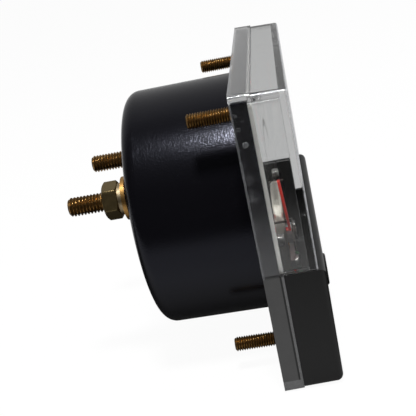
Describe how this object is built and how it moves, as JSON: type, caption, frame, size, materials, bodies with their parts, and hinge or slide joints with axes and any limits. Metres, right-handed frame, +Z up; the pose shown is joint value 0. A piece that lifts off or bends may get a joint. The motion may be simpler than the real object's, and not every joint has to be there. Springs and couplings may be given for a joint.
{
  "type": "analog panel meter",
  "caption": "Square-fronted moving-coil panel meter with a clear cover, a red pointer, a round rear can, mounting studs and screw terminals.",
  "frame": {"origin": "middle of the panel seat, on the axis of the round can, in the plane of the skirt's rear face", "axes": "+X to the right seen from the front, -Y out of the front of the meter, +Z up"},
  "size_m": [0.07, 0.0502, 0.06],
  "materials": {
    "clear_plastic": "clear gloss plastic",
    "black_plastic": "fine satin",
    "case_plastic": "fine spark texture",
    "stud_brass": "turned, dull",
    "nut_bronze": "dark passivated",
    "washer_brass": "bright",
    "plated_steel": "bright plated",
    "dial_white": "gloss white paint",
    "print_black": "printed ink",
    "pointer_red": "red paint",
    "bare_aluminium": "satin",
    "copper_wire": "enamelled",
    "spring_bronze": "bright",
    "bridge_grey": "cast, satin",
    "iron": "turned",
    "magnet": "ground",
    "resistor_body": "lacquered",
    "green_wire": "smooth",
    "red_wire": "smooth"
  },
  "bodies": {
    "housing": {"clear_cover": "clear_plastic", "lower_mask": "black_plastic", "base_case": "case_plastic", "panel_studs": "stud_brass", "terminal_stud_left": "stud_brass", "terminal_stud_right": "stud_brass", "terminal_nut_left": "nut_bronze", "terminal_nut_right": "nut_bronze", "flat_washers": "washer_brass", "spring_washer": "plated_steel", "solder_lug_left": "washer_brass", "solder_lug_right": "washer_brass", "dial_plate": "dial_white", "dial_scale": "print_black", "dial_screws": "washer_brass", "pointer_stops": "plated_steel", "front_jewel_screw": "washer_brass", "rear_jewel_screw": "washer_brass", "front_bridge": "bridge_grey", "front_frame": "plated_steel", "yoke_ring": "iron", "rear_frame": "bridge_grey", "core_magnet": "magnet", "core_clamps": "washer_brass", "movement_screws": "plated_steel", "series_resistor": "resistor_body", "green_lead": "green_wire", "red_lead": "red_wire", "rear_hairspring": "spring_bronze"},
    "adjuster": {"zero_adjuster": "black_plastic"},
    "lever": {"zero_lever": "plated_steel", "front_hairspring": "spring_bronze"},
    "moving_coil": {"pointer": "pointer_red", "balance_cross": "washer_brass", "balance_weights": "washer_brass", "coil_former": "bare_aluminium", "coil_winding": "copper_wire", "front_staff": "plated_steel", "rear_staff": "plated_steel"}
  },
  "joints": [
    {"name": "zero_adjuster_turn", "type": "hinge", "parent": "housing", "child": "adjuster", "pos_m": [0, -0.0105, -0.022], "axis": [0, -1, 0], "range_deg": [-50, 50]},
    {"name": "zero_lever_turn", "type": "hinge", "parent": "housing", "child": "lever", "pos_m": [0, -0.0062, -0.0115], "axis": [0, -1, 0], "range_deg": [-4.9, 4.9]},
    {"name": "pointer_turn", "type": "hinge", "parent": "lever", "child": "moving_coil", "pos_m": [0, 0.0045, -0.0115], "axis": [0, 1, 0], "range_deg": [-3, 93], "stiffness_Nm_per_rad": 0.00002}
  ],
  "couplings": [
    {"joint": "zero_lever_turn", "follows": "zero_adjuster_turn", "ratio": 0.0965}
  ]
}
